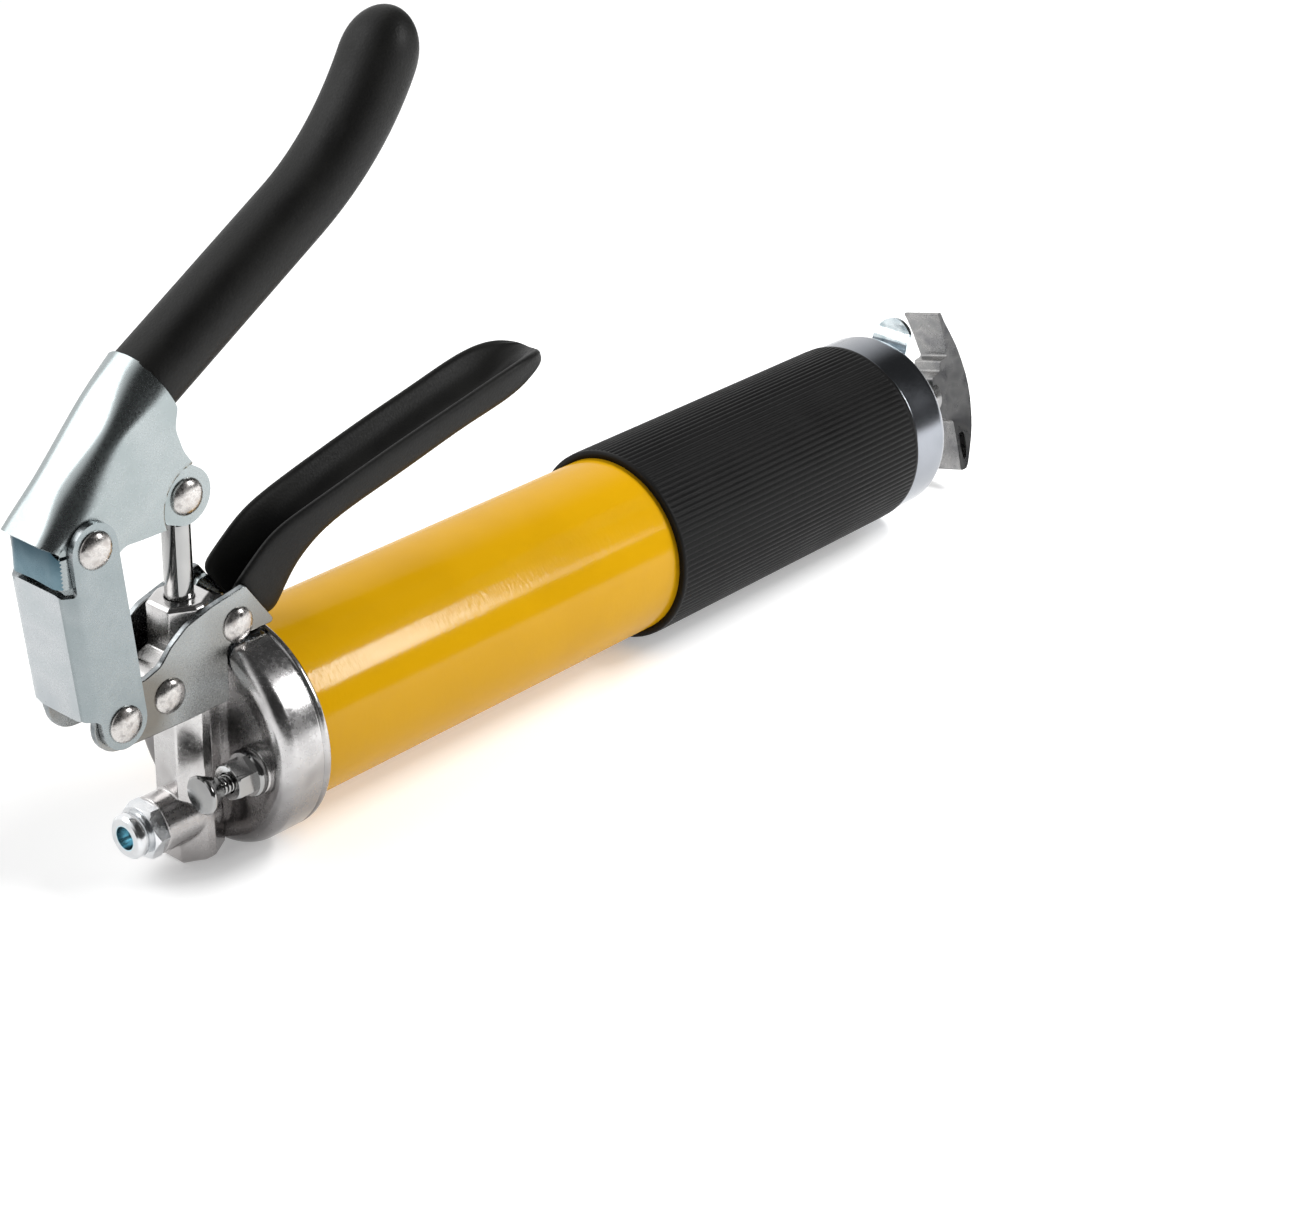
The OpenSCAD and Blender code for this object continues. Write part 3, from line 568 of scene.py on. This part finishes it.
# web faces take the lighter copy, the strips the darker one: painted light and shade
for f in bm.faces:
    f.material_index = 2 if abs(f.calc_center_median().y) < WEB_HALF else 0
for v in bm.verts:
    n, y = across(abs(v.co.y))
    q = Vector(LINK_TOP) + ALONG * v.co.x + OUTER * n
    v.co = put(q.x, math.copysign(y, v.co.y), q.y)
outward(bm, put(-69, 0, 50), Vector((-1, 0, 0)))
link = piece("link_sheet", bm, "link", shaded_link_zinc, ["link"], bevel=0.3, solid=SHEET)
for finish in (rim_zinc_shade, lit_web_zinc, rim_zinc_shade):
    link.data.materials.append(finish)
link.modifiers["thickness"].material_offset_rim = 1

# ---- brackets ---------------------------------------------------------------

BRACKET_THICK, BRACKET_NOSE_R = 2, 8.6


def bracket_nose(start, stop):
    """Stretch of the bracket's round end, in degrees down from its foremost point."""
    return [(LINK_BOTTOM[0] - BRACKET_NOSE_R * math.cos(w), LINK_BOTTOM[1] - BRACKET_NOSE_R * math.sin(w), 0)
            for w in degrees_range(start, stop, 10)]


side_plate = fillet([(LINK_BOTTOM[0] - BRACKET_NOSE_R, LINK_BOTTOM[1], 0)]
                    + bracket_nose(10, 91)
                    + [(-45.5, 15.4, 10), (-31.7, 15.2, 20), (-17.4, 15.6, 0.6), (-17.4, 31.2, 2.2),
                       (-14.6, 33.4, 1.5), (0.2, 33.4, 1.0), (-10.2, 47.8, 1.2), (-22.2, 45.8, 8),
                       (-31, 43.2, 8), (-36.4, 39.4, 6), (-40.5, 34.8, 5), (-46, 32.9, 6)]
                    + bracket_nose(-90, 0))
for name, y0 in (("bracket_left", -PLATE), ("bracket_right", PLATE - BRACKET_THICK)):
    bm = bmesh.new()
    prism(bm, side_plate, y0, y0 + BRACKET_THICK)
    bmesh.ops.recalc_face_normals(bm, faces=bm.faces)
    for f in bm.faces:
        if abs(f.normal.y) < 0.5:
            f.material_index = 1
    bracket = piece(name + "_plate", bm, "gun", bracket_zinc, [name], bevel=0.35)
    bracket.data.materials.append(rim_zinc_shade)

# ---- rivets -----------------------------------------------------------------

# height above the plate and radius, from the top of the dome down to its rim
DOME = [(0, 2.05), (1.6, 2.0), (3.0, 1.78), (4.1, 1.35), (4.85, 0.85), (5.25, 0.35), (5.3, 0.05), (5.3, -0.3)]


def rivet(name, centre, level, node_name, body, size=1.0, shank=2.9):
    """Pin across the gun with a dome at each end; level is the plates' outer face."""
    profile = [(-(level + h), r * size) for r, h in DOME]
    profile += [(-(level - 0.3), shank), (level - 0.3, shank)]
    profile += [(level + h, r * size) for r, h in DOME[::-1]]
    bm = bmesh.new()
    lathe(bm, profile, 48, lambda x, y, z: put(centre[0] + y, x, centre[1] + z))
    piece(name, bm, body, nickel, [node_name])


rivet("rivet_link_top", LINK_TOP, 12.8, "link_top_rivet", "link")
rivet("rivet_link_bottom", LINK_BOTTOM, 12.8, "link_bottom_rivet", "gun")
rivet("rivet_bracket_front", RIVET_FRONT, PLATE, "bracket_front_rivet", "gun", 0.97)
rivet("rivet_bracket_rear", RIVET_REAR, PLATE, "bracket_rear_rivet", "gun", 0.97)
rivet("rivet_plunger", PLUNGER_PIN, 5.2, "plunger_pin", "lever", 1.0, 2.5)

# ---- barrel, sleeve and end cap ---------------------------------------------

BARREL_FROM, BARREL_TO, BARREL_R, BARREL_BORE = -10.5, 281, 28.5, 27.0
SLEEVE_FROM, SLEEVE_TO, SLEEVE_R = 150, 270.3, 30.9
CAP_FROM, CAP_TO, CAP_R, CAP_EDGE, CAP_HOLE = 270.6, 288, 30.3, 4, 7.0
ROUND = 160

bm = bmesh.new()
lathe(bm, [(BARREL_FROM, 27.2), (BARREL_FROM, 28.3), (-10.3, BARREL_R), (-10.0, BARREL_R), (-9.5, BARREL_R),
           (280.3, BARREL_R), (280.8, BARREL_R), (BARREL_TO, 28.3), (BARREL_TO, BARREL_BORE),
           (SLEEVE_FROM, BARREL_BORE), (BARREL_FROM, BARREL_BORE), (BARREL_FROM, 27.2)], ROUND)
piece("barrel_skin", bm, "gun", yellow, ["barrel_tube"])

RIBS, RIB_STEPS = 104, 6
# x, share of the groove's depth and the ribs' radius, round the sleeve's section
sleeve = [(SLEEVE_FROM, 0, 30.0), (SLEEVE_FROM, 0, 30.6), (150.3, 0, 30.85), (150.9, 0, SLEEVE_R),
          (151.2, 0.4, SLEEVE_R), (151.8, 1, 31), (190, 1, 31), (230, 1, 31), (268.0, 1, 31),
          (268.6, 0.4, SLEEVE_R), (268.9, 0, SLEEVE_R), (269.9, 0, SLEEVE_R), (SLEEVE_TO, 0, 30.6),
          (SLEEVE_TO, 0, 30.0), (SLEEVE_TO, 0, BARREL_R), (SLEEVE_FROM, 0, BARREL_R)]
loops = []
for x, depth, base in sleeve + sleeve[:1]:
    loop = []
    for k in range(RIBS * RIB_STEPS):
        a = 2 * math.pi * k / (RIBS * RIB_STEPS)
        groove = 0.5 * (1 - math.sin(math.pi * (k % RIB_STEPS) / RIB_STEPS) ** 0.8)
        r = base - depth * groove
        loop.append(put(x, r * math.cos(a), r * math.sin(a)))
    loops.append(loop)
bm = bmesh.new()
rings(bm, loops, ends=False)
bmesh.ops.remove_doubles(bm, verts=bm.verts, dist=2e-6)
bmesh.ops.recalc_face_normals(bm, faces=bm.faces)
piece("sleeve_ribbed", bm, "gun", rubber, ["grip_sleeve"])

shoulder = [(CAP_TO - CAP_EDGE + CAP_EDGE * math.sin(a), CAP_R - CAP_EDGE + CAP_EDGE * math.cos(a))
            for a in degrees_range(0, 91, 9)]
bm = bmesh.new()
lathe(bm, [(CAP_FROM, 28.8), (CAP_FROM, 30.0), (270.9, CAP_R), (271.2, CAP_R), (276, CAP_R), (280, CAP_R)]
      + shoulder
      + [(CAP_TO, 20), (CAP_TO, 12), (CAP_TO, 7.2), (287.8, CAP_HOLE), (285, CAP_HOLE), (285, 28.8),
         (CAP_FROM, 28.8)], ROUND)
piece("end_cap_shell", bm, "gun", chrome, ["end_cap"])

# ---- lever grip -------------------------------------------------------------

GRIP_ANG, GRIP_END, GRIP_BEND = math.radians(31.5), math.radians(61.5), 90.0
GRIP_MOUTH = Vector((-32.6, 111.3))
GRIP_R, GRIP_GROWTH = 9.7, 0.6
SQUARENESS = 2.35         # exponent of the section, where 2 is a circle
RUN = 61.5                # straight part
ARC_LEN = GRIP_BEND * (GRIP_END - GRIP_ANG)
TOTAL = RUN + ARC_LEN + 15.6
SEG = 56


def heading(w):
    return Vector((math.cos(w), math.sin(w)))


def spine(d):
    """Point and direction on the grip's centre line, d millimetres from its mouth."""
    if d <= RUN:
        return GRIP_MOUTH + d * heading(GRIP_ANG), GRIP_ANG
    bend_from = GRIP_MOUTH + RUN * heading(GRIP_ANG)
    centre = bend_from + GRIP_BEND * Vector((-math.sin(GRIP_ANG), math.cos(GRIP_ANG)))
    w = min(GRIP_ANG + (d - RUN) / GRIP_BEND, GRIP_END)
    on_bend = centre + GRIP_BEND * Vector((math.sin(w), -math.cos(w)))
    return on_bend + max(0, d - RUN - ARC_LEN) * heading(w), w


stations = [-0.6, -0.6, 0.0] + [1.2 + i * 1.5 for i in range(int((TOTAL - 14) / 1.5))]
dome_from = stations[-1] + 1.0
tip_len = TOTAL - dome_from
stations += [dome_from + tip_len * math.sin(math.radians(a)) for a in (0, 12, 24, 36, 47, 57, 66, 74, 81, 86)]
loops = []
for i, d in enumerate(stations):
    p, w = spine(d)
    size = GRIP_R + GRIP_GROWTH * smoothstep((d - RUN) / ARC_LEN)
    if d > dome_from:
        size *= math.sqrt(max(0.0, 1 - ((d - dome_from) / tip_len) ** 2))
    if i == 0:
        size -= 1.2
    if i == 1:
        size -= 0.35
    loop = []
    for k in range(SEG):
        a = 2 * math.pi * k / SEG
        ca, sa = math.cos(a), math.sin(a)
        f = (abs(ca) ** SQUARENESS + abs(sa) ** SQUARENESS) ** (-1 / SQUARENESS)
        h, y = size * 0.98 * f * ca, size * f * sa
        # three short wrinkles on the upper near side
        crease = 0.0
        for at in (82.0, 85.2, 88.0):
            here = (d - at - 1.2 * sa) / 0.9
            crease += math.exp(-here * here) * math.exp(-((math.degrees(a) + 40) % 360) ** 2 / 900)
        h -= 0.35 * crease * ca
        y -= 0.35 * crease * sa
        q = p + h * Vector((-math.sin(w), math.cos(w)))
        loop.append(put(q.x, y, q.y))
    loops.append(loop)
bm = bmesh.new()
rings(bm, loops)
bmesh.ops.recalc_face_normals(bm, faces=bm.faces)
piece("grip_vinyl", bm, "lever", vinyl, ["lever_grip"], subdivide=1)

# ---- fixed handle: vinyl-dipped trough --------------------------------------

# rim and keel of each section, seen from the side, and its half width
STATIONS = [((-11.6, 46.4), (-2.6, 34.0), 8.3), ((-7.0, 50.5), (1.0, 32.8), 8.4),
            ((-2.4, 54.2), (4.2, 32.6), 8.4), ((1.7, 57.2), (7.2, 37.0), 8.5),
            ((5.6, 59.2), (9.9, 41.4), 8.8), ((10.4, 61.0), (13.2, 45.6), 9.2),
            ((19.6, 63.4), (21.5, 51.8), 9.7), ((33.4, 66.8), (35.6, 55.6), 9.9),
            ((47.6, 70.2), (50.2, 58.6), 10.1), ((60.0, 72.9), (63.4, 61.9), 10.3),
            ((71.9, 75.3), (76.2, 65.0), 10.4), ((83.0, 77.8), (88.0, 67.1), 10.6),
            ((92.0, 79.6), (96.6, 68.8), 10.6), ((99.4, 80.5), (103.0, 71.2), 10.0),
            ((105.4, 80.5), (108.2, 73.4), 8.6), ((109.8, 79.6), (111.6, 74.6), 6.4),
            ((112.6, 78.4), (113.4, 75.6), 3.6)]
LIP, TROUGH_FLOOR = 1.8, 3.6
TIP_SECTIONS = 4          # over which the trough closes
loops = []
for i, (rim, keel, w) in enumerate(STATIONS):
    top_pt, low_pt = Vector(rim), Vector(keel)
    deep = (low_pt - top_pt).length
    lip = min(LIP, w * 0.3)
    shut = smoothstep((i - len(STATIONS) + 1 + TIP_SECTIONS) / TIP_SECTIONS)
    inner = deep - min(TROUGH_FLOOR, deep * 0.45)
    inner *= 1 - 0.85 * shut
    half = [(0.0, deep), (w * 0.42, deep - 0.15), (w * 0.78, deep - 0.9), (w * 0.97, deep * 0.72),
            (w, deep * 0.45), (w, deep * 0.2), (w - 0.15 * lip, 0.35 * lip), (w - 0.75 * lip, 0.0),
            (w - 1.45 * lip, 0.35 * lip), (w - 1.9 * lip, 0.25 * inner), (w * 0.5, 0.62 * inner),
            (w * 0.2, 0.88 * inner), (0.0, inner)]
    way = (low_pt - top_pt).normalized()
    loop = half + [(-y, e) for y, e in half[-2:0:-1]]
    loops.append([put(top_pt.x + way.x * e, y, top_pt.y + way.y * e) for y, e in loop])
bm = bmesh.new()
rings(bm, loops)
bmesh.ops.recalc_face_normals(bm, faces=bm.faces)
piece("handle_dipped", bm, "gun", vinyl, ["handle_vinyl"], subdivide=2)

# the steel channel shows only at its root, between the bracket plates
ROOT_IN, ROOT_OUT = 5.5, 7.4
root = fillet([(-16.8, 34.6, 1), (-16.8, 41.0, 1), (-12.6, 45.0, 1), (-9.4, 45.4, 1), (-5.0, 40.0, 1),
               (-5.0, 34.6, 1)])
bm = bmesh.new()
for y0, y1 in ((-ROOT_OUT, -ROOT_IN), (ROOT_IN, ROOT_OUT)):
    prism(bm, root, y0, y1)
bmesh.ops.recalc_face_normals(bm, faces=bm.faces)
piece("handle_root", bm, "gun", zinc, ["handle_channel"], bevel=0.3)

# ---- pump head: cast in one, then bored -------------------------------------

COL_X, OUT_Z = -24.4, -BELOW
HALF_HEX, FLAT_Y, BORE = 8.0, 8.4, 4.1
BLEEDER_Y, BLEEDER_Z = -18.4, -3.6
corners = [30, 80.2, 99.8, 150, 210, 260.2, 279.8, 330]
around = sorted(corners + [a for a in range(0, 360, 12) if min(abs(a - c) for c in corners) > 3])


def column_r(a):
    """Radius of the column's section, a hexagon with its two side corners cut flat."""
    hexagon = HALF_HEX / math.cos(math.radians((a + 30) % 60 - 30))
    flat_side = FLAT_Y / max(1e-6, abs(math.sin(math.radians(a))))
    return min(hexagon, flat_side)


# level and inset of each loop from the foot up, then the bore's two, marked None
levels = [(-33.3, -1.3), (-32.0, 0), (45.5, 0), (46.5, -1.1), (46.5, None), (-8.0, None)]
column = []
for z, cut in levels:
    radii = [BORE if cut is None else column_r(a) + cut for a in around]
    column.append([put(COL_X + r * math.cos(w), r * math.sin(w), z)
                   for r, w in zip(radii, map(math.radians, around))])
bm = bmesh.new()
rings(bm, column)
lathe(bm, [(-30.6, 0), (-30.6, 3.6), (-33, 3.6), (-33, 5.05), (-39, 5.05), (-39, 8.1), (-38.7, 8.4),
           (-20, 8.4), (-20, 0)],
      64, lambda x, y, z: put(x, y, OUT_Z + z))
lathe(bm, [(-8.4, 0), (-8.4, 6.0), (-8.0, 6.4), (8.0, 6.4), (8.4, 6.0), (8.4, 0)],
      64, lambda x, y, z: put(RIVET_FRONT[0] + y, x, RIVET_FRONT[1] + z))
prism(bm, [(RIVET_FRONT[0], RIVET_FRONT[1] - 6), (-30, RIVET_FRONT[1] - 9), (-30, RIVET_FRONT[1] + 9),
           (RIVET_FRONT[0], RIVET_FRONT[1] + 6)], -5, 5)
prism(bm, [(-17.2, 28), (-17.2, 36), (-15.6, 41.4), (-9.8, 41.4), (-7, 34), (-6, 28)], -5.2, 5.2)
prism(bm, [(-18.4, -24), (-14.6, -26), (-14.6, 30), (-18.4, 30)], -5, 5)
lathe(bm, [(-17.4, 0), (-17.4, 6.6), (-17.0, 7.0), (-13, 7.6), (-13, 0)],
      64, lambda x, y, z: put(x, y + BLEEDER_Y, z + BLEEDER_Z))
bmesh.ops.recalc_face_normals(bm, faces=bm.faces)
head = piece("head_body", bm, "gun", cast, ["head_casting"])
soft = head.modifiers.new("soft", "REMESH")
soft.mode = "VOXEL"
soft.voxel_size = 0.0003
soft.use_smooth_shade = True
worn = head.modifiers.new("worn", "SMOOTH")
worn.factor = 0.5
worn.iterations = 3

FLANGE_R, FLANGE_EDGE, FLANGE_SEAT = 33, 3.8, 28.8
edge = [(-13.2 - FLANGE_EDGE * math.cos(w), 29.2 + FLANGE_EDGE * math.sin(w))
        for w in degrees_range(9, 91, 9)]
ring_groove = [(-4.1, FLANGE_R), (-3.9, 32.9), (-3.7, 32.4), (-3.2, 32.4), (-3.0, 32.9), (-2.8, FLANGE_R)]
bm = bmesh.new()
lathe(bm, [(-15.5, 0), (-15.5, 12), (-15.5, 21.5), (-15.7, 23.4), (-16.2, 25.2), (-16.8, 27), (-17.0, 28.4)]
      + edge
      + [(-9, FLANGE_R), (-4.4, FLANGE_R)]
      + ring_groove
      + [(-1.8, FLANGE_R), (-1.4, 32.85), (-1.2, 32.4), (-1.2, FLANGE_SEAT), (-12, FLANGE_SEAT), (-12, 0)],
      192)
piece("head_flange", bm, "gun", flange_cast, ["head_casting"])

# ---- T-handle and rod latch -------------------------------------------------

TEE_X, TEE_TURN = 322, math.radians(15)
TEE_HALF, TEE_FLARE, TEE_FLARE_FROM = 5.5, 0.1, 9


def tee(dx, v, side_sign):
    """Point of a side face, dx along x and v up the turned arm; the arms flare towards their ends."""
    w = side_sign * (TEE_HALF + TEE_FLARE * max(0, abs(v) - TEE_FLARE_FROM))
    return put(TEE_X + dx, w * math.cos(TEE_TURN) + v * math.sin(TEE_TURN),
               v * math.cos(TEE_TURN) - w * math.sin(TEE_TURN))


crescent = fillet([(-0.4, 28.8, 0.8), (1.4, 25, 12), (4.4, 20, 20), (7.8, 14, 20), (10.9, 6, 20),
                   (11.9, -3, 20), (11.4, -10, 20), (8.9, -17, 20), (5.6, -22.8, 12), (2.9, -27.2, 2.4),
                   (1.4, -28.6, 1.2), (-2.0, -28.6, 0.8), (-0.6, -20, 10), (0, -10.8, 1.5),
                   (-3.4, -9.2, 1.5), (-8, -7.0, 1.0), (-8, 7.0, 1.0), (-3.2, 8.2, 1.0),
                   (-2.4, 11.8, 1.0), (1.8, 12.2, 1.0), (1.3, 15, 10), (0.2, 21, 10), (-1.4, 27, 6),
                   (-2.4, 28.8, 0.8)], 20)
slot = fillet([(1.6, -15.6, 0.9), (4.6, -15.8, 1.2), (3.9, -21, 6), (2.2, -25.4, 0.9), (0.9, -25.2, 0.6),
               (0.7, -20, 6)], 20)[::-1]
bm = bmesh.new()
faces = [[bm.verts.new(tee(dx, v, w)) for dx, v in crescent + slot] for w in (-1, 1)]
for first, count in ((0, len(crescent)), (len(crescent), len(slot))):
    for i in range(count):
        a, b = first + i, first + (i + 1) % count
        bm.faces.new((faces[0][a], faces[0][b], faces[1][b], faces[1][a]))
for tri in tessellate_polygon([[Vector((*q, 0)) for q in outline] for outline in (crescent, slot)]):
    for corner in faces:
        bm.faces.new([corner[i] for i in tri]).material_index = 1
bmesh.ops.recalc_face_normals(bm, faces=bm.faces)
bmesh.ops.dissolve_limit(bm, angle_limit=math.radians(1), verts=bm.verts, edges=bm.edges)
lathe(bm, [(-26, 0), (-26, 6.2), (-25.2, 7.0), (-6, 7.0), (-6, 0)], 64, lambda x, y, z: put(TEE_X + x, y, z))
tee_grip = piece("tee_grip", bm, "rod", die_cast, ["t_handle"], bevel=1.0)
# the flat sides take the darker copy: painted shade
tee_grip.data.materials.append(die_side_shade)

LATCH_X, HINGE_Z, PLATE_TOP = 291.2, -17.0, 22.0
TONGUE_LEN, TONGUE_HALF, TONGUE_ROUND = 52.0, 7.3, 7.4
HOLE_R, TONGUE_THICK = 4.05, 0.0016
upright = PLATE_TOP - HINGE_Z
lean = [(0.0, LATCH_X), (upright, LATCH_X), (upright + 5, LATCH_X + 1.6), (upright + 10, LATCH_X + 4.0),
        (upright + 14, LATCH_X + 4.4)]
hole = [(-HINGE_Z + HOLE_R * math.cos(w), HOLE_R * math.sin(w)) for w in degrees_range(180, -1, -12)]
tongue = [(0.0, 0.0)] + hole + [(TONGUE_LEN, 0.0)]
tongue += [(TONGUE_LEN - TONGUE_ROUND * (1 - math.cos(w)), TONGUE_HALF * math.sin(w))
           for w in degrees_range(9, 91, 9)]
tongue += [(0.0, TONGUE_HALF)]
bm = cells(tongue, 1.0)
for v in bm.verts:
    v.co = put(blend_table(lean, v.co.x), v.co.y, HINGE_Z + v.co.x)
bmesh.ops.mirror(bm, geom=bm.verts[:] + bm.edges[:] + bm.faces[:], merge_dist=2e-6, axis="Y")
outward(bm, put(290, 0, 10), Vector((-1, 0, 0)))
latch = piece("latch_plate", bm, "latch", latch_zinc, ["rod_latch"], bevel=0.25)
thickness = latch.modifiers.new("thickness", "SOLIDIFY")
thickness.thickness = TONGUE_THICK
thickness.offset = 0
latch.modifiers.move(1, 0)

# ---- springs ----------------------------------------------------------------


def tube(bm, path, radius, seg=8):
    """Round wire of a radius in metres along a path of points."""
    loops = []
    for i, p in enumerate(path):
        way = (path[min(i + 1, len(path) - 1)] - path[max(i - 1, 0)]).normalized()
        if i == 0:
            a = way.orthogonal().normalized()
        else:
            a = (a - way * a.dot(way)).normalized()
        b = way.cross(a)
        loops.append([p + (a * math.cos(w) + b * math.sin(w)) * radius
                      for w in (2 * math.pi * k / seg for k in range(seg))])
    rings(bm, loops)
    bmesh.ops.recalc_face_normals(bm, faces=bm.faces)


def coil(name, start, length, mean, wire, turns, stands_for):
    """Coil spring along x from start: its length, mean radius and wire diameter in millimetres."""
    axis = Vector((1, 0, 0))
    a = axis.orthogonal().normalized()
    b = axis.cross(a)
    steps = int(turns * 20)
    path = []
    for i in range(steps + 1):
        f = i / steps
        w = 2 * math.pi * turns * f
        path.append(start + (axis * (length * f) + (a * math.cos(w) + b * math.sin(w)) * mean) / 1000)
    bm = bmesh.new()
    tube(bm, path, wire / 2000)
    piece(name, bm, "gun", steel, [stands_for])


coil("bleeder_coil", put(-29.3, BLEEDER_Y, BLEEDER_Z), 6.6, 2.35, 0.85, 5, "bleeder_spring")
coil("latch_coil", put(288.15, 0, 14), 2.2, 3.0, 0.6, 2, "latch_spring")


# ---- CAD nodes that keep their shape ----------------------------------------

def dress(name, material):
    """Gives a CAD node one material, and joins the vertices that its faces share."""
    cad = nodes[name]
    cad.data.materials.clear()
    cad.data.materials.append(material)
    for poly in cad.data.polygons:
        poly.material_index = 0
    weld = cad.modifiers.new("weld", "WELD")
    weld.merge_threshold = 1e-6


for material, names in ((adaptor_zinc, ("outlet_adaptor",)),
                        (steel, ("check_ball", "check_spring", "plunger", "bleeder_body", "bleeder_button",
                                 "latch_hinge_pin", "follower_rod", "follower_nut", "follower_spring",
                                 "t_handle_pin")),
                        (gasket, ("plunger_seal", "barrel_gasket", "follower_cup")),
                        (zinc, ("rod_guide", "follower_plate", "follower_washer"))):
    for name in names:
        dress(name, material)
